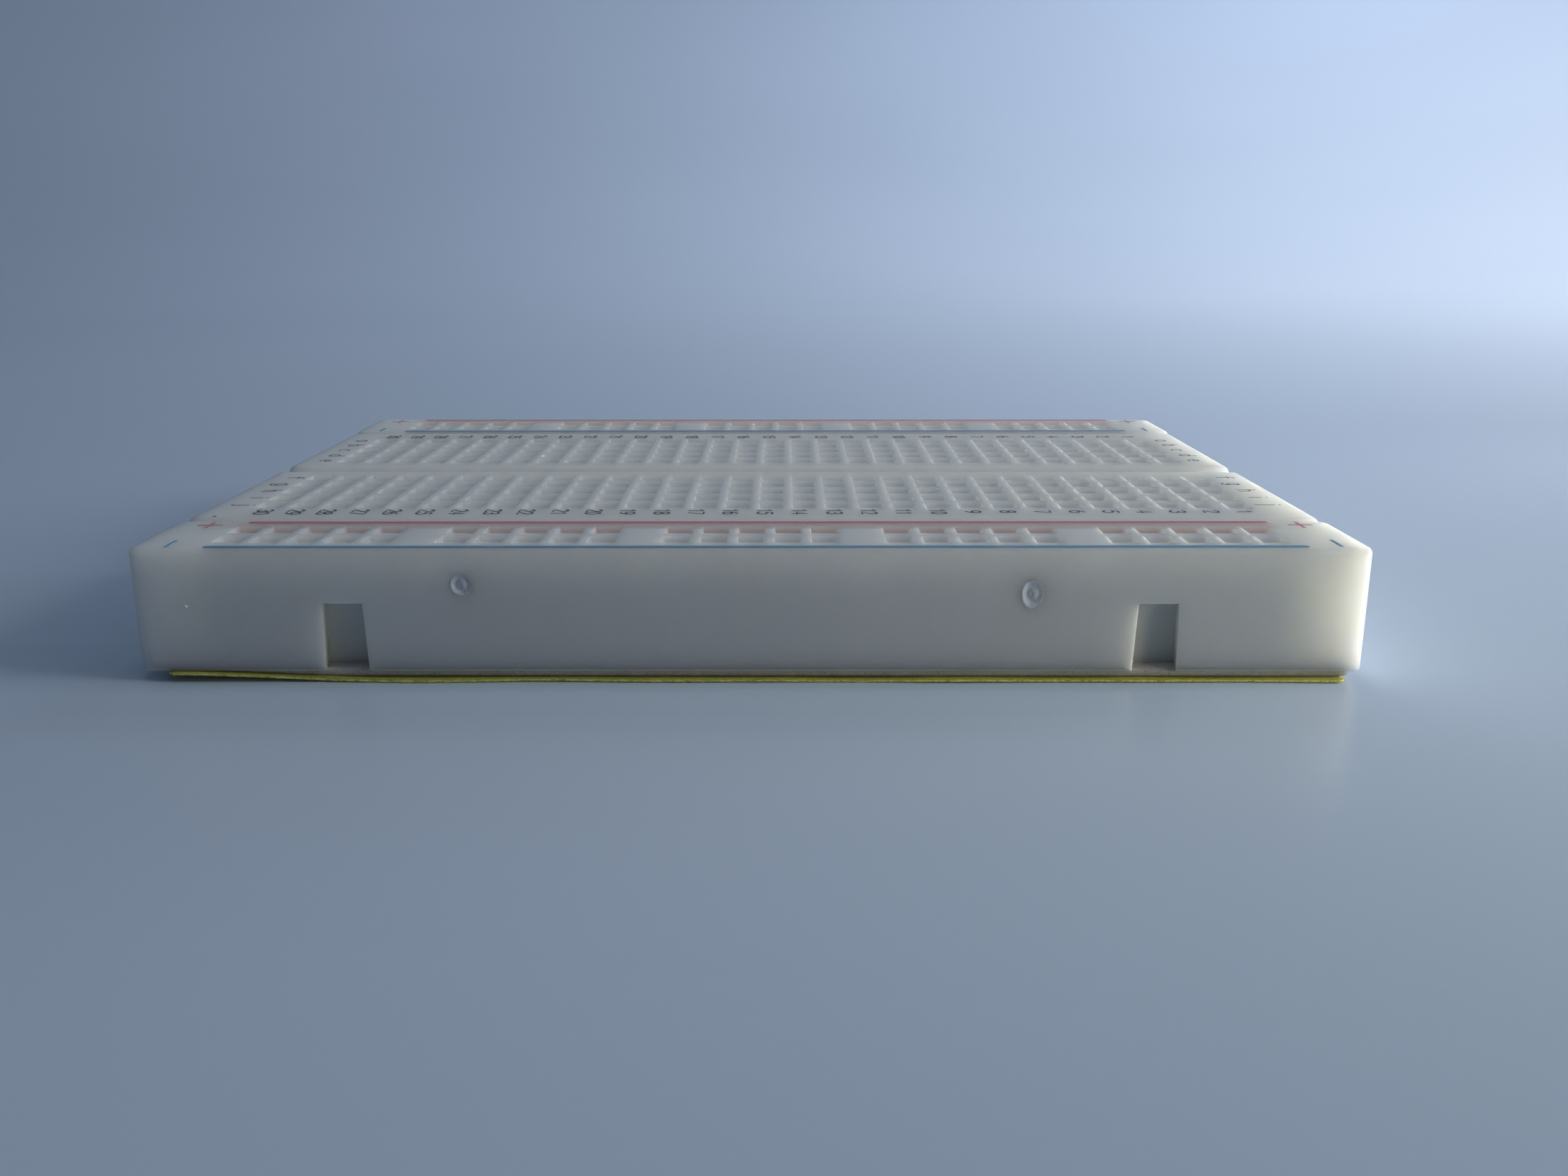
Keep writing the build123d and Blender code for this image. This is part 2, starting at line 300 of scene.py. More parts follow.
def foam_tape():
    """Grey closed-cell foam: fine cells, a faint cloudy tone and dark specks."""
    material, tree, shader = new_material("grey_foam_tape")
    vector = object_coords(tree)
    cells = add_node(tree, "ShaderNodeTexVoronoi", {"Vector": vector, "Scale": 9000.0, "Randomness": 1.0})
    pores = remap(tree, cells.outputs["Distance"], 0.1, 0.6, 0.0, 1.0)
    tone = noise_fac(tree, vector, 700.0, 4.0, 0.6)
    colour = ramp(tree, tone, (0.3, FOAM_DARK), (0.75, FOAM_LIGHT))
    colour = mix_colour(tree, remap(tree, pores, 0.0, 1.0, 0.30, 0.0), colour, FOAM_PORE)
    speckle = remap(tree, noise_fac(tree, vector, 5200.0, 2.0, 0.6), 0.56, 0.68, 0.0, 0.50)
    colour = mix_colour(tree, speckle, colour, FOAM_SPECK)
    tree.links.new(colour, shader.inputs["Base Color"])
    tree.links.new(bump(tree, pores, 0.45, 0.02 * MM), shader.inputs["Normal"])
    shader.inputs["Roughness"].default_value = 0.8
    shader.inputs["Subsurface Weight"].default_value = 0.4
    shader.inputs["Subsurface Radius"].default_value = (1.0, 1.0, 1.0)
    shader.inputs["Subsurface Scale"].default_value = 0.3 * MM
    return material


WAX_DARK = (0.34, 0.32, 0.06)
WAX_LIGHT = (0.50, 0.47, 0.11)
WAXED_FIBRE = (0.70, 0.67, 0.25)
CUT_EDGE_DARK = (0.50, 0.50, 0.04)
CUT_EDGE_BRIGHT = (1.0, 0.98, 0.36)
# Painted shade colours for the foot and the top of the cut edge.
CUT_EDGE_FOOT_SHADE = (0.40, 0.40, 0.04)
CUT_EDGE_TOP_SHADE = (0.20, 0.18, 0.025)
STEEPEST_FACE = 0.6  # a facet whose normal rises less than this belongs to the cut edge


def waxed_paper():
    """Yellow release paper: an olive waxed face and a fibrous cut edge, with painted shade darkening the
    edge's foot at the bench and its top under the foam, so it is brightest at mid height.
    """
    material, tree, shader = new_material("yellow_waxed_paper")
    vector = object_coords(tree)
    fibres = noise_fac(tree, object_coords(tree, (1.0, 0.22, 1.0)), 3400.0, 5.0, 0.7)
    blotches = noise_fac(tree, vector, 150.0, 4.0, 0.6)
    face = ramp(tree, blotches, (0.30, WAX_DARK), (0.72, WAX_LIGHT))
    face = mix_colour(tree, remap(tree, fibres, 0.3, 0.8, 0.0, 0.30), face, WAXED_FIBRE)
    facing = add_node(tree, "ShaderNodeNewGeometry").outputs["True Normal"]
    upward = add_node(tree, "ShaderNodeSeparateXYZ", {"Vector": facing}).outputs["Z"]
    cut = math_node(tree, "LESS_THAN", math_node(tree, "ABSOLUTE", upward), STEEPEST_FACE)
    torn_fibres = noise_fac(tree, object_coords(tree, (0.45, 1.0, 2.0)), 5600.0, 4.0, 0.75)
    edge = ramp(tree, torn_fibres, (0.38, CUT_EDGE_DARK), (0.58, CUT_EDGE_BRIGHT))
    level = add_node(tree, "ShaderNodeAttribute", attribute_name="paper_level").outputs["Fac"]
    uneven_level = math_node(tree, "ADD", level, remap(tree, torn_fibres, 0.3, 0.7, -0.22, 0.22))
    # Painted shade: the cut edge is darkened at its foot, where it meets the bench, and at its top, under
    # the foam.
    foot_shade = remap(tree, uneven_level, 0.05, 0.35, 0.75, 0.0, smooth=True)
    edge = mix_colour(tree, foot_shade, edge, CUT_EDGE_FOOT_SHADE)
    top_shade = remap(tree, uneven_level, 0.78, 0.98, 0.0, 0.92, smooth=True)
    edge = mix_colour(tree, top_shade, edge, CUT_EDGE_TOP_SHADE)
    colour = mix_colour(tree, cut, face, edge)
    tree.links.new(colour, shader.inputs["Base Color"])
    tree.links.new(remap(tree, fibres, 0.2, 0.8, 0.38, 0.55), shader.inputs["Roughness"])
    normal = bump(tree, fibres, 0.35, 0.012 * MM)
    normal = bump(tree, torn_fibres, 0.4, 0.02 * MM, normal)
    tree.links.new(normal, shader.inputs["Normal"])
    shader.inputs["Subsurface Weight"].default_value = 0.25
    shader.inputs["Subsurface Radius"].default_value = (1.0, 0.95, 0.25)
    shader.inputs["Subsurface Scale"].default_value = 0.3 * MM
    return material


def torn_plastic(name, dark, light, whitened_and_highlight):
    """Torn plastic where a moulding gate was broken off, lightened as far as its mesh says: a painted
    highlight on the gate scars, and stress-whitening on the bruised flake.
    """
    material, tree, shader = new_material(name)
    vector = object_coords(tree)
    torn = noise_fac(tree, vector, 3800.0, 4.0, 0.7)
    colour = ramp(tree, torn, (0.35, dark), (0.65, light))
    whitening_and_highlight = add_node(tree, "ShaderNodeAttribute", attribute_name="whitening_and_highlight").outputs["Fac"]
    colour = mix_colour(tree, whitening_and_highlight, colour, whitened_and_highlight)
    tree.links.new(colour, shader.inputs["Base Color"])
    tree.links.new(bump(tree, torn, 0.8, 0.05 * MM), shader.inputs["Normal"])
    shader.inputs["Roughness"].default_value = 0.45
    shader.inputs["Specular IOR Level"].default_value = 0.3
    return material


# ---------------------------------------------------------------- mesh helpers


def mesh_object(name, vertices, faces, material):
    """A new smooth-shaded mesh object with outward faces."""
    mesh = bpy.data.meshes.new(name)
    mesh.from_pydata(vertices, [], faces)
    work = bmesh.new()
    work.from_mesh(mesh)
    bmesh.ops.recalc_face_normals(work, faces=work.faces)
    work.to_mesh(mesh)
    work.free()
    for polygon in mesh.polygons:
        polygon.use_smooth = True
    made = bpy.data.objects.new(name, mesh)
    bpy.context.scene.collection.objects.link(made)
    mesh.materials.append(material)
    return made


def store(made, name, values):
    """Stores one number per point of a mesh, for its material to read."""
    layer = made.data.attributes.new(name, "FLOAT", "POINT")
    layer.data.foreach_set("value", values)


def ring_faces(rings, spokes, first=0):
    """The quads between rings of points that follow one another from the first point on."""
    faces = []
    for ring in range(rings - 1):
        inner = first + ring * spokes
        outer = inner + spokes
        for spoke in range(spokes):
            after = (spoke + 1) % spokes
            faces.append((inner + spoke, inner + after, outer + after, outer + spoke))
    return faces


def grid_lines(low, high, step, marks=()):
    """Evenly spread grid lines from low to high, with one exactly on every mark."""
    stops = sorted({low, high, *marks})
    lines = [low]
    for start, end in zip(stops, stops[1:]):
        cells = max(1, round((end - start) / step))
        lines += [start + (end - start) * cell / cells for cell in range(1, cells + 1)]
    return lines


def slab(name, xs, ys, levels, keep, place, material):
    """A closed sheet over the grid cells that keep(x, y) accepts.

    place(x, y, share) puts its points; share goes from 0 underneath to 1 on top, in that many levels.
    """
    index, vertices, faces = {}, [], []
    cells = {
        (i, j)
        for i in range(len(xs) - 1)
        for j in range(len(ys) - 1)
        if keep((xs[i] + xs[i + 1]) / 2, (ys[j] + ys[j + 1]) / 2)
    }

    def corner(i, j, level):
        if (i, j, level) not in index:
            index[i, j, level] = len(vertices)
            vertices.append(place(xs[i], ys[j], level / levels))
        return index[i, j, level]

    for i, j in sorted(cells):
        outline = ((i, j), (i + 1, j), (i + 1, j + 1), (i, j + 1))
        for level in (0, levels):
            faces.append([corner(*point, level) for point in outline])
        sides = ((i, j - 1), (i + 1, j), (i, j + 1), (i - 1, j))
        for side, neighbour in enumerate(sides):
            if neighbour in cells:
                continue
            start, end = outline[side], outline[(side + 1) % 4]
            for level in range(levels):
                lower = (corner(*start, level), corner(*end, level))
                upper = (corner(*end, level + 1), corner(*start, level + 1))
                faces.append(lower + upper)
    return mesh_object(name, vertices, faces, material)


def round_corners(x, y, low, high, radius):
    """Moves a point near a box's corner in, so that a square grid gets round corners."""
    dx = max(x - (high.x - radius), low.x + radius - x, 0.0)
    dy = max(y - (high.y - radius), low.y + radius - y, 0.0)
    if dx == 0.0 or dy == 0.0:
        return x, y
    pull = 1.0 - max(dx, dy) / math.hypot(dx, dy)
    middle = (low + high) / 2
    return x - math.copysign(dx * pull, x - middle.x), y - math.copysign(dy * pull, y - middle.y)


def smoothstep(value, low, high):
    """Zero up to low, one from high on, and a smooth step between them."""
    share = min(1.0, max(0.0, (value - low) / (high - low)))
    return share * share * (3.0 - 2.0 * share)


def bell(value, middle, width):
    """One at the middle, falling off smoothly each side."""
    return math.exp(-(((value - middle) / width) ** 2))


# ----------------------------------------------------------------- printed ink

# A stroke's height, its section as shares of its half width and height, and its caps' angles in degrees
INK_HEIGHT = 0.010 * MM
INK_SECTION = ((-1.0, 0.0), (-0.6, 0.8), (0.0, 1.0), (0.6, 0.8), (1.0, 0.0), (0.0, -0.5))
CAP_STEPS = (10, 35, 60)


def ink_stroke(points, half_width, vertices, faces, closed=False):
    """Adds one printed stroke to a mesh: a low lens-shaped ridge along the points, with round ends."""
    centre = [Vector((x, y)) for x, y in points]
    count = len(centre)
    rings = []
    for i, point in enumerate(centre):
        before = centre[(i - 1) % count] if closed or i else point
        after = centre[(i + 1) % count] if closed or i < count - 1 else point
        rings.append((point, (after - before).normalized(), 1.0))
    if not closed:
        first, last = rings[0], rings[-1]
        for angle in CAP_STEPS:
            reach, width = math.sin(math.radians(angle)), math.cos(math.radians(angle))
            rings.insert(0, (first[0] - first[1] * half_width * reach, first[1], width))
            rings.append((last[0] + last[1] * half_width * reach, last[1], width))
    start, size = len(vertices), len(INK_SECTION)
    for point, along, width in rings:
        across = Vector((-along.y, along.x))
        for offset, height in INK_SECTION:
            place = point + across * offset * width * half_width
            vertices.append((place.x, place.y, top_z + height * INK_HEIGHT))
    ring_count = len(rings)
    for i in range(ring_count if closed else ring_count - 1):
        here, there = start + i * size, start + (i + 1) % ring_count * size
        for j in range(size):
            k = (j + 1) % size
            faces.append((here + j, here + k, there + k, there + j))
    if not closed:
        faces.append([start + j for j in range(size)])
        faces.append([start + (ring_count - 1) * size + j for j in range(size)])


def arc(cx, cy, rx, ry, start, end):
    """Points along an ellipse's arc from start to end, in degrees, about one every 15 degrees."""
    steps = max(3, round(abs(end - start) / 15))
    angles = [math.radians(start + (end - start) * i / steps) for i in range(steps + 1)]
    return [(cx + rx * math.cos(a), cy + ry * math.sin(a)) for a in angles]


# Plain single-stroke characters, one unit high and about half a unit wide.
GLYPHS = {
    "0": [arc(0.25, 0.5, 0.25, 0.5, 90, 450)],
    "1": [[(0.08, 0.78), (0.30, 1.0), (0.30, 0.0)]],
    "2": [arc(0.25, 0.74, 0.24, 0.26, 165, -25) + [(0.0, 0.0), (0.5, 0.0)]],
    "3": [arc(0.23, 0.77, 0.22, 0.23, 150, -90), arc(0.23, 0.27, 0.26, 0.27, 90, -150)],
    "4": [[(0.38, 0.0), (0.38, 1.0), (0.0, 0.3), (0.5, 0.3)]],
    "5": [[(0.46, 1.0), (0.09, 1.0), (0.05, 0.55)] + arc(0.23, 0.32, 0.27, 0.32, 125, -145)],
    "6": [arc(0.25, 0.3, 0.25, 0.3, 90, 450), arc(0.50, 0.35, 0.50, 0.65, 108, 180)],
    "7": [[(0.0, 1.0), (0.5, 1.0), (0.17, 0.0)]],
    "8": [arc(0.25, 0.76, 0.21, 0.24, 90, 450), arc(0.25, 0.26, 0.25, 0.26, 90, 450)],
    "9": [arc(0.25, 0.7, 0.25, 0.3, 90, 450), arc(0.0, 0.65, 0.50, 0.65, 288, 360)],
    "a": [arc(0.24, 0.33, 0.21, 0.33, 0, 360), [(0.45, 0.66), (0.45, 0.0)]],
    "b": [[(0.04, 1.0), (0.04, 0.0)], arc(0.25, 0.33, 0.21, 0.33, 0, 360)],
    "c": [arc(0.26, 0.33, 0.22, 0.33, 50, 310)],
    "d": [[(0.46, 1.0), (0.46, 0.0)], arc(0.25, 0.33, 0.21, 0.33, 0, 360)],
    "e": [[(0.04, 0.34)] + arc(0.25, 0.33, 0.21, 0.33, 3, 310)],
    "f": [arc(0.36, 0.80, 0.20, 0.20, 80, 180) + [(0.16, 0.0)], [(0.0, 0.64), (0.36, 0.64)]],
    "g": [arc(0.24, 0.33, 0.21, 0.33, 0, 360), [(0.45, 0.66)] + arc(0.24, -0.08, 0.21, 0.22, 0, -145)],
    "h": [[(0.05, 1.0), (0.05, 0.0)], arc(0.25, 0.40, 0.20, 0.26, 180, 0) + [(0.45, 0.0)]],
    "i": [[(0.2, 0.66), (0.2, 0.0)], [(0.2, 0.93), (0.2, 0.97)]],
    "j": [[(0.24, 0.66)] + arc(0.06, -0.12, 0.18, 0.18, 0, -70), [(0.24, 0.93), (0.24, 0.97)]],
}
# A character unit's height and width for the letters and for the digits
LETTER_SIZE = (1.42 * MM, 1.42 * MM)
DIGIT_SIZE = (1.10 * MM, 1.27 * MM)
CHARACTER_ADVANCE = 0.64
CHARACTER_WIDTH = 0.5
LETTER_HALF_STROKE = 0.070 * MM
LETTER_X = (-38.85 * MM, 39.40 * MM)
DIGIT_HALF_STROKE = 0.088 * MM
NUMBER_ROW_Y = 16.2 * MM
# How far the numbers stand beside their columns: (column, millimetres), with straight lines between
DIGIT_DRIFT = (
    (1, -0.26), (6, -0.05), (10, -0.25), (15, -0.49), (20, -0.57), (25, -0.43), (28, -0.17), (30, 0.20),
)
STRAY_DOT = ((-39.62 * MM, -17.70 * MM), (-39.58 * MM, -17.66 * MM))
STRAY_DOT_RADIUS = 0.13 * MM
PRINT_SKEW = math.radians(0.2)

LINE_STEPS = 150
LINE_WANDER = 0.02 * MM
RED_LINE_ENDS = (-36.05 * MM, 36.8 * MM)
RED_LINE_HALF_WIDTH = 0.27 * MM
BLUE_LINE_ENDS = (-36.3 * MM, 37.0 * MM)
BLUE_LINE_HALF_WIDTH = 0.29 * MM
SIGN_ARM = 0.8 * MM
PLUS_X = (-38.75 * MM, 39.05 * MM)
PLUS_OFFSET = 2.7 * MM
PLUS_HALF_STROKE = 0.11 * MM
MINUS_X = (-39.1 * MM, 39.45 * MM)
MINUS_OFFSET = -2.45 * MM
MINUS_HALF_STROKE = 0.13 * MM


def skewed(x, y):
    """The whole print is turned a hair against the mouldings."""
    cosine, sine = math.cos(PRINT_SKEW), math.sin(PRINT_SKEW)
    return x * cosine - y * sine, x * sine + y * cosine


def add_label(text, x, y, size, half_stroke, vertices, faces):
    """Characters centred on x, y, turned a quarter clockwise so that their tops face +X."""
    tall, wide = size
    width = CHARACTER_WIDTH + CHARACTER_ADVANCE * (len(text) - 1)
    for place, character in enumerate(text):
        left = place * CHARACTER_ADVANCE - width / 2
        for stroke in GLYPHS[character]:
            closed = len(stroke) > 4 and math.dist(stroke[0], stroke[-1]) < EDGE_TOLERANCE
            points = [
                skewed(x + (v - 0.5) * tall, y - (left + u) * wide)
                for u, v in (stroke[:-1] if closed else stroke)
            ]
            ink_stroke(points, half_stroke, vertices, faces, closed)


def digit_drift(number):
    """How far a column number is printed beside its column: the print wanders along the strip."""
    for (start, low), (end, high) in zip(DIGIT_DRIFT, DIGIT_DRIFT[1:]):
        if number <= end:
            return (low + (high - low) * (number - start) / (end - start)) * MM
    return 0.0


def terminal_print(material):
    """Column numbers along both sides, row letters at both ends, and one stray dot of ink."""
    vertices, faces = [], []
    for number, x in enumerate(COLUMN_X, start=1):
        for side in (-1, 1):
            place = (x + digit_drift(number), side * NUMBER_ROW_Y)
            add_label(str(number), *place, DIGIT_SIZE, DIGIT_HALF_STROKE, vertices, faces)
    for letter, y in ROW_Y.items():
        for x in LETTER_X:
            add_label(letter, x, y, LETTER_SIZE, LETTER_HALF_STROKE, vertices, faces)
    ink_stroke(STRAY_DOT, STRAY_DOT_RADIUS, vertices, faces)
    return mesh_object("terminal_strip_characters", vertices, faces, material)


def wavering_line(y, ends, half_width, seed, vertices, faces):
    """A long printed line whose centre wanders by up to two hundredths of a millimetre."""
    points = []
    for step in range(LINE_STEPS + 1):
        x = ends[0] + (ends[1] - ends[0]) * step / LINE_STEPS
        drift = LINE_WANDER * noise.noise(Vector((x * 350.0, seed, 0.0)))
        points.append(skewed(x, y + drift))
    ink_stroke(points, half_width, vertices, faces)


def rail_print(rail, red, blue):
    """A rail's two polarity lines with a plus and a minus at both ends."""
    rail_y = RAIL_Y[rail]
    vertices, faces = [], []
    wavering_line(rail_y + RED_LINE_OFFSET, RED_LINE_ENDS, RED_LINE_HALF_WIDTH, 1.0, vertices, faces)
    y = rail_y + PLUS_OFFSET
    for x in PLUS_X:
        along = [skewed(x - SIGN_ARM, y), skewed(x + SIGN_ARM, y)]
        across = [skewed(x, y - SIGN_ARM), skewed(x, y + SIGN_ARM)]
        ink_stroke(along, PLUS_HALF_STROKE, vertices, faces)
        ink_stroke(across, PLUS_HALF_STROKE, vertices, faces)
    plus_side = mesh_object(f"{rail}_red_print", vertices, faces, red)

    vertices, faces = [], []
    wavering_line(rail_y + BLUE_LINE_OFFSET, BLUE_LINE_ENDS, BLUE_LINE_HALF_WIDTH, 7.0, vertices, faces)
    y = rail_y + MINUS_OFFSET
    for x in MINUS_X:
        across = [skewed(x, y - SIGN_ARM), skewed(x, y + SIGN_ARM)]
        ink_stroke(across, MINUS_HALF_STROKE, vertices, faces)
    minus_side = mesh_object(f"{rail}_blue_print", vertices, faces, blue)
    return plus_side, minus_side


# ------------------------------------------------------------- foam and liner

LAYER_RADIUS = 0.8 * MM

PAPER = 0.20 * MM
PAPER_LEVELS = 3
PAPER_CELLS = (0.14 * MM, 0.9 * MM)
WAVE_RISE = 0.09 * MM
WAVE_MARGIN = 7.0 * MM  # how far in from its edges the liner waves
# The curl of the front left corner is full in front of its first depth and gone behind its second
CURL_RISE = 0.48 * MM
CURL_LENGTH = 15.0 * MM
CURL_DEPTHS = (2.0 * MM, 9.0 * MM)
FRONT_WAVE = 0.40 * MM  # how far the front edge waves out
FRONT_RAGGED = 0.05 * MM
RIGHT_END = (36.0 * MM, 40.0 * MM)  # over this stretch the front edge shifts out to the right
RIGHT_END_SHIFT = 0.20 * MM
# The front left corner is cut back
CORNER_CUT = 0.60 * MM
CORNER_CUT_LENGTH = 4.0 * MM
CORNER_CUT_DEPTH = 5.0 * MM

FOAM_LEVELS = 4
FOAM_CELLS = (0.35 * MM, 0.5 * MM)
FOAM_SWELL = 0.06 * MM
FOAM_SETBACK = 0.02 * MM
FOAM_ROUGHNESS = ((0.02 * MM, 2600.0), (0.012 * MM, 6500.0))  # height and scale of each noise
FOAM_PLAY = 0.01 * MM  # kept clear above the liner
NOTCH_HALF_WIDTH = 2.26 * MM
NOTCH_REACH = 1.70 * MM


def liner_lift(x, y):
    """How far the liner stands above the bench: gentle waves near its edges and one curled corner."""
    from_edge = min(x - liner_low.x, liner_high.x - x, y - liner_low.y, liner_high.y - y)
    wave = 0.5 + 0.5 * noise.noise(Vector((x * 140.0, y * 90.0, 3.0)))
    lift = (1.0 - smoothstep(from_edge, 0.0, WAVE_MARGIN)) * wave * WAVE_RISE
    along = 1.0 - smoothstep(x - liner_low.x, 0.0, CURL_LENGTH)
    deep = 1.0 - smoothstep(y - liner_low.y, *CURL_DEPTHS)
    return lift + CURL_RISE * along * deep


def release_liner(material):
    """Thin waxed paper in place of its plain CAD sheet, with a ragged and waving front edge."""
    shares = []

    def place(x, y, share):
        shares.append(share)
        on_front_edge = y < liner_low.y + EDGE_TOLERANCE
        x, y = round_corners(x, y, liner_low, liner_high, LAYER_RADIUS)
        if on_front_edge:
            ragged = noise.noise(Vector((x * 1500.0, share * 2.0, 9.0)))
            ragged += noise.noise(Vector((x * 4200.0, share * 5.0, 4.0)))
            wave = 0.5 + 0.5 * noise.noise(Vector((x * 110.0, 5.0, 2.0)))
            x += RIGHT_END_SHIFT * smoothstep(x, *RIGHT_END)
            y += FRONT_RAGGED * ragged - FRONT_WAVE * wave
        near_front = 1.0 - smoothstep(y - liner_low.y, 0.0, CORNER_CUT_DEPTH)
        near_left = 1.0 - smoothstep(x - liner_low.x, 0.0, CORNER_CUT_LENGTH)
        x += CORNER_CUT * near_front * near_left
        return x, y, liner_lift(x, y) + share * PAPER

    quarters = [step * LAYER_RADIUS / 4 for step in range(1, 5)]
    corner_lines = [liner_low.y + inset for inset in quarters] + [liner_high.y - inset for inset in quarters]
    xs = grid_lines(liner_low.x, liner_high.x, PAPER_CELLS[0])
    ys = grid_lines(liner_low.y, liner_high.y, PAPER_CELLS[1], corner_lines)
    made = slab("yellow_release_liner", xs, ys, PAPER_LEVELS, lambda x, y: True, place, material)
    store(made, "paper_level", shares)
    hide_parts("release_liner")
    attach(made, "liner")


def foam_pad(strip, notched, material):
    """Die-cut foam tape with rough, slightly swollen edges, pinched where the liner curls up.

    A notched pad leaves room for the tabs of the strip in front of it.
    """
    node = f"{strip}_foam_pad"
    low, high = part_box(node)

    def place(x, y, share):
        outward_x = (x > high.x - EDGE_TOLERANCE) - (x < low.x + EDGE_TOLERANCE)
        outward_y = (y > high.y - EDGE_TOLERANCE) - (y < low.y + EDGE_TOLERANCE)
        x, y = round_corners(x, y, low, high, LAYER_RADIUS)
        floor = max(low.z, liner_lift(x, y) + PAPER + FOAM_PLAY)
        z = floor + share * (high.z - floor)
        swell = FOAM_SWELL * math.sin(math.pi * share) - FOAM_SETBACK
        for height, scale in FOAM_ROUGHNESS:
            swell += height * noise.noise(Vector((x * scale, y * scale, z * scale)))
        return x + outward_x * swell, y + outward_y * swell, z

    def keep(x, y):
        in_notch = abs(abs(x) - SLOT_X) < NOTCH_HALF_WIDTH and y < low.y + NOTCH_REACH
        return not (notched and in_notch)

    notch_edges = [side * SLOT_X + way * NOTCH_HALF_WIDTH for side in (-1, 1) for way in (-1, 1)]
    xs = grid_lines(low.x, high.x, FOAM_CELLS[0], notch_edges if notched else ())
    ys = grid_lines(low.y, high.y, FOAM_CELLS[1], (low.y + NOTCH_REACH,) if notched else ())
    made = slab(f"{strip}_foam", xs, ys, FOAM_LEVELS, keep, place, material)
    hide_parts(node)
    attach(made, strip)


# ----------------------------------------------------------------- gate scars

FACE_SLOPE = math.tan(math.radians(1.6))

# Each rail's scars: side, place along the rail, drop below its top, half width, half height, seed
GATE_SCARS = (
    ("left", -19.3 * MM, 2.45 * MM, 0.77 * MM, 0.78 * MM, 6.8),
    ("right", 18.9 * MM, 3.05 * MM, 0.80 * MM, 1.05 * MM, 8.5),
)
SCAR_RINGS = 16
SCAR_SPOKES = 64
SCAR_MIDDLE_DEPTH = 0.03 * MM
SCAR_BACK_DEPTH = 0.13 * MM
TORN_SIDE = math.radians(205.0)
STUB_RADII = (0.21 * MM, 0.45 * MM)
DISH_SHARES = (0.42, 0.90)  # where the dish's floor ends and its rim begins, as shares of its radius

FLAKE_X = -37.9 * MM
FLAKE_DROP = 3.96 * MM
FLAKE_RADIUS = 0.16 * MM
FLAKE_HEIGHT = 0.05 * MM
FLAKE_SINK = 0.01 * MM
FLAKE_RINGS = 4
FLAKE_SPOKES = 12


def drafted_face(foot_y, z):
    """Where a rail's sloping front face is at a height."""
    return foot_y + (z - foot_z) * FACE_SLOPE


def scar_depth(share, lip, from_middle, rough):
    """How deep a scar is at a share of its radius, in millimetres; lip is one on its torn side."""
    floor_end, rim = DISH_SHARES
    dish = (0.060 + 0.040 * lip) * (1.0 - smoothstep(share, floor_end, rim))
    sunk_edge = 0.018 * smoothstep(share, rim, 1.0) - 0.003
    stub = 0.06 * (1.0 - smoothstep(from_middle, *STUB_RADII))
    burr = 0.02 * lip * bell(share, rim, 0.08)
    return dish + sunk_edge - stub - burr + 0.015 * rough * (1.0 - share**6)


def gate_scar(name, x, z, half_width, half_height, foot_y, seed, material):
    """A shallow dish left by a broken moulding gate, torn up around its lower left, with a painted highlight
    crescent there.
    """
    vertices, whitening_and_highlight = [(x, drafted_face(foot_y, z) + SCAR_MIDDLE_DEPTH, z)], [0.0]
    for ring in range(1, SCAR_RINGS + 1):
        share = ring / SCAR_RINGS
        for spoke in range(SCAR_SPOKES):
            angle = 2 * math.pi * spoke / SCAR_SPOKES
            lip = max(0.0, 0.25 + 0.75 * math.cos(angle - TORN_SIDE))
            around = Vector((math.cos(angle) * 2.0, math.sin(angle) * 2.0, seed))
            reach = share * (1.0 + 0.08 * noise.noise(around))
            dx, dz = half_width * reach * math.cos(angle), half_height * reach * math.sin(angle)
            rough = noise.noise(Vector(((x + dx) * 2600.0, (z + dz) * 2600.0, seed)))
            depth = scar_depth(share, lip, math.hypot(dx, dz), rough) * MM
            vertices.append((x + dx, drafted_face(foot_y, z + dz) + depth, z + dz))
            # Painted highlight: a pale crescent round the lower left, where the dish's wall faces the light.
            painted_crescent = 1.5 * lip * bell(share, 0.70, 0.24) * (1.0 + 1.2 * rough)
            whitening_and_highlight.append(min(1.0, max(0.0, painted_crescent)))
    back = len(vertices)
    for px, _, pz in vertices[back - SCAR_SPOKES:]:
        vertices.append((px, drafted_face(foot_y, pz) + SCAR_BACK_DEPTH, pz))
        whitening_and_highlight.append(0.0)
    faces = [(0, 1 + spoke, 1 + (spoke + 1) % SCAR_SPOKES) for spoke in range(SCAR_SPOKES)]
    faces += ring_faces(SCAR_RINGS + 1, SCAR_SPOKES, first=1)
    faces.append(range(back, back + SCAR_SPOKES))
    made = mesh_object(name, vertices, faces, material)
    store(made, "whitening_and_highlight", whitening_and_highlight)
    return made


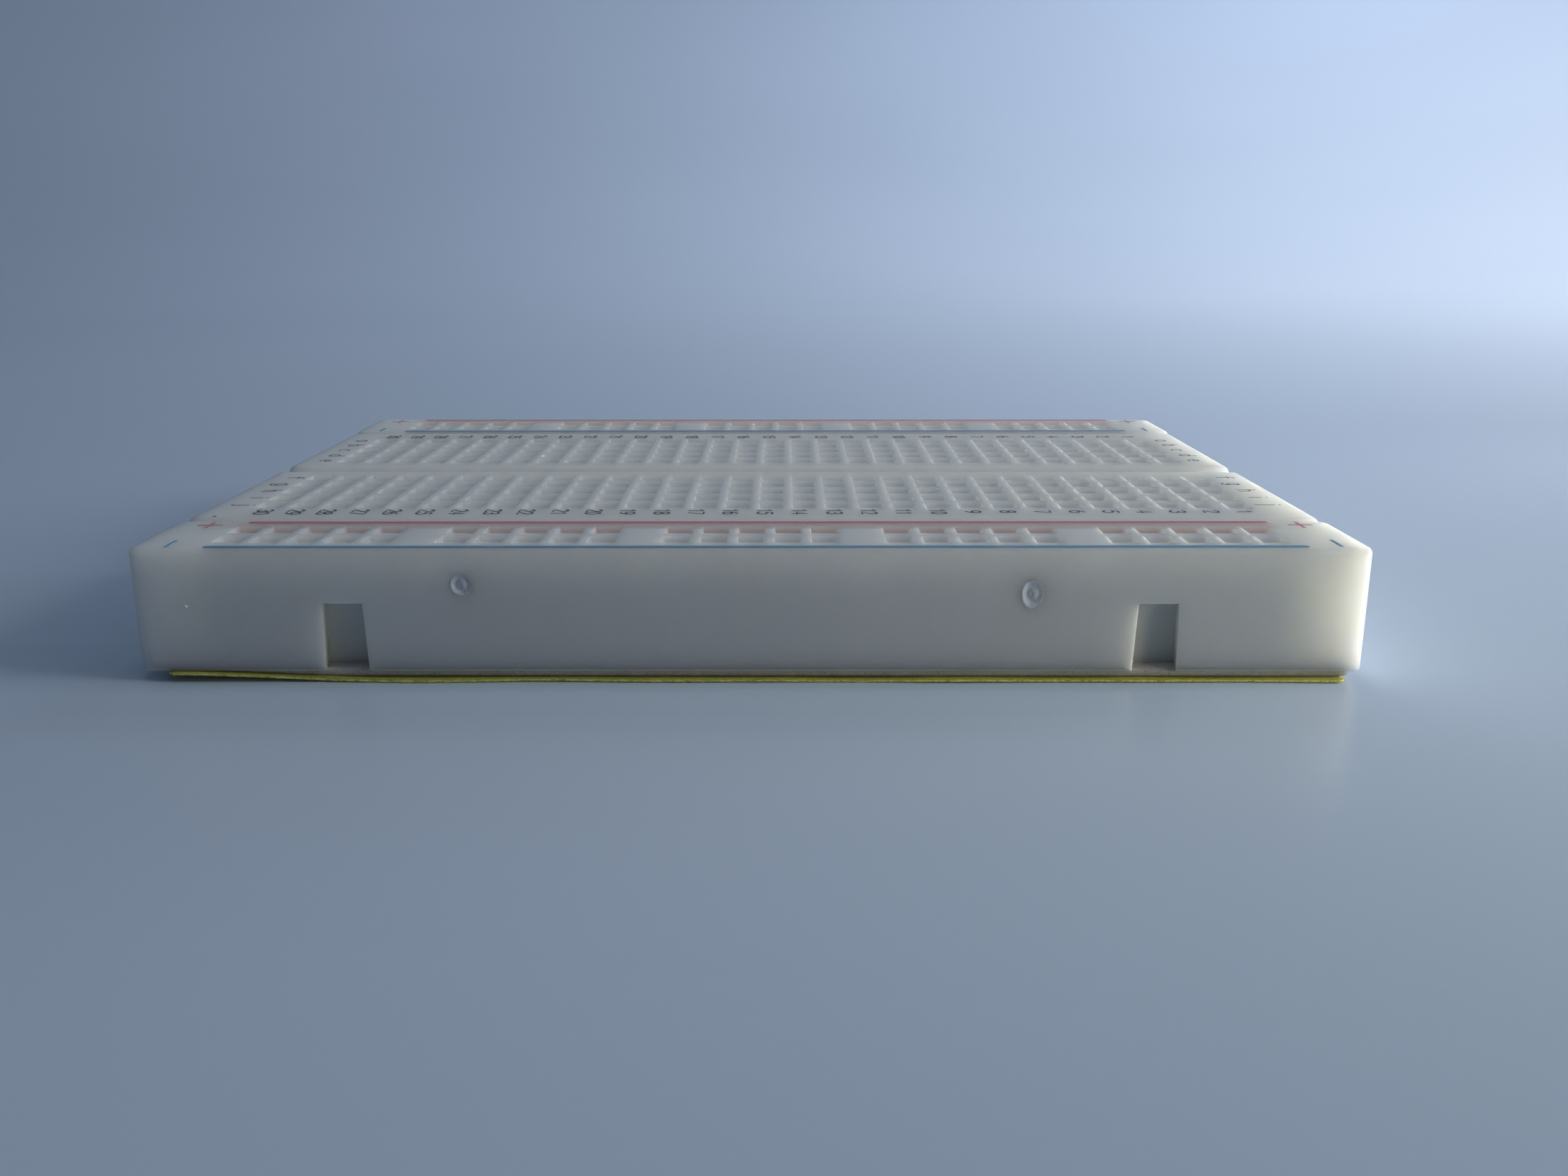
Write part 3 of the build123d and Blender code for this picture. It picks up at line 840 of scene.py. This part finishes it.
def bruised_flake(name, x, z, foot_y, material):
    """A tiny bright flake of bruised plastic standing on a rail's front face."""
    vertices = []
    for ring in range(FLAKE_RINGS):
        tilt = math.radians(90.0 * ring / FLAKE_RINGS)
        for spoke in range(FLAKE_SPOKES):
            angle = 2 * math.pi * spoke / FLAKE_SPOKES
            around = Vector((math.cos(angle) * 2.0, math.sin(angle) * 2.0, ring * 0.7))
            reach = FLAKE_RADIUS * (1.0 + 0.3 * noise.noise(around)) * math.cos(tilt)
            px, pz = x + reach * math.cos(angle), z + 0.8 * reach * math.sin(angle)
            out = FLAKE_HEIGHT * math.sin(tilt) - FLAKE_SINK
            vertices.append((px, drafted_face(foot_y, pz) - out, pz))
    tip, last = len(vertices), len(vertices) - FLAKE_SPOKES
    vertices.append((x, drafted_face(foot_y, z) - 0.9 * FLAKE_HEIGHT, z))
    faces = ring_faces(FLAKE_RINGS, FLAKE_SPOKES)
    faces += [(last + spoke, last + (spoke + 1) % FLAKE_SPOKES, tip) for spoke in range(FLAKE_SPOKES)]
    faces.append(range(FLAKE_SPOKES))
    made = mesh_object(name, vertices, faces, material)
    store(made, "whitening_and_highlight", [1.0] * len(vertices))
    return made


# ----------------------------------------------------------------- the object

CHARACTER_INK = ((0.018, 0.022, 0.026), (0.045, 0.052, 0.058))
RED_INK = ((0.69, 0.15, 0.21), (0.79, 0.24, 0.30))
BLUE_INK = ((0.09, 0.31, 0.50), (0.15, 0.40, 0.60))
# Gate scar colours, darker and bluer than the ivory: painted shade in the dish and painted reflection of the
# bluish surroundings. The third colour is the painted highlight.
SCAR_COLOURS = ((0.52, 0.55, 0.60), (0.62, 0.65, 0.70), (0.74, 0.79, 0.88))
FLAKE_COLOURS = ((0.80, 0.80, 0.72), (0.90, 0.90, 0.80), (1.0, 0.98, 0.86))
EDGE_ROUND = 0.06 * MM

characters_ink = ink("character_ink", *CHARACTER_INK)
red_ink = ink("red_line_ink", *RED_INK)
blue_ink = ink("blue_line_ink", *BLUE_INK)
metal = spring_metal()
foam = foam_tape()
paper = waxed_paper()
scar_plastic = torn_plastic("gate_scar_plastic", *SCAR_COLOURS)
flake_plastic = torn_plastic("bruised_flake_plastic", *FLAKE_COLOURS)

front_y = {
    strip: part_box(f"{strip}_housing")[0].y
    for strip in ("front_rail", "terminal_strip", "rear_rail")
}
housing_plastic = {
    f"{strip}_housing": ivory_plastic(f"{strip}_plastic", y, RAIL_Y.get(strip))
    for strip, y in front_y.items()
}


def soften_edges(housing):
    """Small rounds on the moulded edges of a housing, by modifiers."""
    weld = housing.modifiers.new("weld", "WELD")
    weld.merge_threshold = 1e-6
    bevel = housing.modifiers.new("moulded_edges", "BEVEL")
    bevel.width = EDGE_ROUND
    bevel.segments = 2
    bevel.limit_method = "ANGLE"
    bevel.angle_limit = math.radians(40)
    bevel.harden_normals = True


for name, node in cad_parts.items():
    if name in housing_plastic:
        node.data.materials.clear()
        node.data.materials.append(housing_plastic[name])
        soften_edges(node)
    elif name.endswith(("contacts", "contact")):
        node.data.materials.clear()
        node.data.materials.append(metal)

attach(terminal_print(characters_ink), "terminal_strip")
for rail in RAIL_Y:
    for printed in rail_print(rail, red_ink, blue_ink):
        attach(printed, rail)

for strip, notched in (("front_rail", False), ("terminal_strip", True), ("rear_rail", True)):
    foam_pad(strip, notched, foam)
release_liner(paper)

for rail in RAIL_Y:
    for side, x, drop, half_width, half_height, seed in GATE_SCARS:
        place = (x, top_z - drop, half_width, half_height, front_y[rail])
        scar = gate_scar(f"{rail}_{side}_gate_scar", *place, seed, scar_plastic)
        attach(scar, rail)
flake = bruised_flake("front_face_nick", FLAKE_X, top_z - FLAKE_DROP, front_y["front_rail"], flake_plastic)
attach(flake, "front_rail")


# ------------------------------------------------------ floor, lights, camera


FLOOR_RADII = (0.0, 0.10, 0.20, 0.30)
SWEEP_WIDTH = 0.90
SWEEP_HEIGHT = 0.60
SWEEP_POWER = 2.6
SWEEP_STEPS = 30
WALL_PROFILE = ((1.25, 0.72), (1.27, 0.90), (1.28, 1.2))
BOWL_SPOKES = 96
FLOOR_DARK = (0.555, 0.665, 0.825)
FLOOR_LIGHT = (0.60, 0.71, 0.88)


def studio_bowl():
    """A pale glossy floor that sweeps up into a wall all round."""
    profile = [(radius, 0.0) for radius in FLOOR_RADII]
    for step in range(1, SWEEP_STEPS + 1):
        share = step / SWEEP_STEPS
        profile.append((FLOOR_RADII[-1] + SWEEP_WIDTH * share, SWEEP_HEIGHT * share**SWEEP_POWER))
    profile += WALL_PROFILE
    vertices = []
    for radius, height in profile:
        for spoke in range(BOWL_SPOKES):
            angle = 2 * math.pi * spoke / BOWL_SPOKES
            vertices.append((radius * math.cos(angle), radius * math.sin(angle), height))
    material, tree, shader = new_material("pale_floor")
    shade = noise_fac(tree, object_coords(tree), 3.0, 2.0)
    colour = ramp(tree, shade, (0.3, FLOOR_DARK), (0.7, FLOOR_LIGHT))
    tree.links.new(colour, shader.inputs["Base Color"])
    shader.inputs["Roughness"].default_value = 0.24
    shader.inputs["Specular IOR Level"].default_value = 0.35
    floor = mesh_object("studio_floor", vertices, ring_faces(len(profile), BOWL_SPOKES), material)


def area_light(name, place, aim, size, watts, colour, spread=180.0):
    """A soft lamp that lights the object without showing up in its reflections."""
    data = bpy.data.lights.new(name, "AREA")
    data.shape = "RECTANGLE"
    data.size, data.size_y = size
    data.energy = watts
    data.spread = math.radians(spread)
    data.color = colour
    lamp = bpy.data.objects.new(name, data)
    lamp.location = place
    lamp.rotation_euler = (Vector(aim) - Vector(place)).to_track_quat("-Z", "Y").to_euler()
    lamp.visible_camera = False
    lamp.visible_glossy = False
    bpy.context.scene.collection.objects.link(lamp)


def studio_light():
    """A dim sky, two small lamps close to the right end and four larger ones further off."""
    world = bpy.data.worlds.new("studio")
    world.use_nodes = True
    background = world.node_tree.nodes["Background"]
    background.inputs["Color"].default_value = (0.60, 0.74, 0.92, 1.0)
    background.inputs["Strength"].default_value = 0.004
    bpy.context.scene.world = world
    area_light(
        "low_side", place=(0.20, 0.035, 0.011), aim=(0.04, -0.008, 0.007),
        size=(0.10, 0.018), watts=0.0168, colour=(1.0, 0.96, 0.93), spread=34.0,
    )
    area_light(
        "near_right", place=(0.125, -0.105, 0.035), aim=(0.042, -0.027, 0.004),
        size=(0.04, 0.04), watts=0.0056, colour=(1.0, 0.91, 0.60), spread=70.0,
    )
    area_light(
        "side_front", place=(0.45, -0.06, 0.20), aim=(0.0, -0.05, 0.0),
        size=(0.2, 0.2), watts=1.12, colour=(0.98, 1.0, 0.97),
    )
    area_light(
        "overhead", place=(0.0, -0.02, 0.6), aim=(0.0, -0.02, 0.0),
        size=(0.3, 0.3), watts=0.38, colour=(0.76, 0.89, 1.0),
    )
    area_light(
        "wall_middle", place=(0.30, 0.55, 0.55), aim=(0.1, 0.9, 0.1),
        size=(0.4, 0.4), watts=1.78, colour=(0.75, 0.845, 1.0),
    )
    area_light(
        "floor_right", place=(0.42, 0.22, 0.35), aim=(0.40, 0.55, 0.1),
        size=(0.2, 0.2), watts=1.75, colour=(1.0, 0.93, 0.85),
    )


SENSOR_WIDTH = 36.0  # a camera's sensor and lens are in millimetres
FOCAL_LENGTH = 28.24
CAMERA_PLACE = (2.39 * MM, -105.64 * MM, top_z + 21.18 * MM)
CAMERA_DOWNWARD = 16.87
CAMERA_TURN = 0.09


def photo_camera():
    """The photograph's view, from a camera fitted to the grid of holes."""
    data = bpy.data.cameras.new("camera")
    data.sensor_width = SENSOR_WIDTH
    data.lens = FOCAL_LENGTH
    data.clip_start = 0.002
    data.clip_end = 10.0
    made = bpy.data.objects.new("camera", data)
    made.location = CAMERA_PLACE
    made.rotation_euler = (math.radians(90.0 - CAMERA_DOWNWARD), 0.0, math.radians(CAMERA_TURN))
    bpy.context.scene.collection.objects.link(made)
    bpy.context.scene.camera = made


photo_camera()
studio_bowl()
studio_light()
bpy.context.scene.view_settings.view_transform = "Standard"
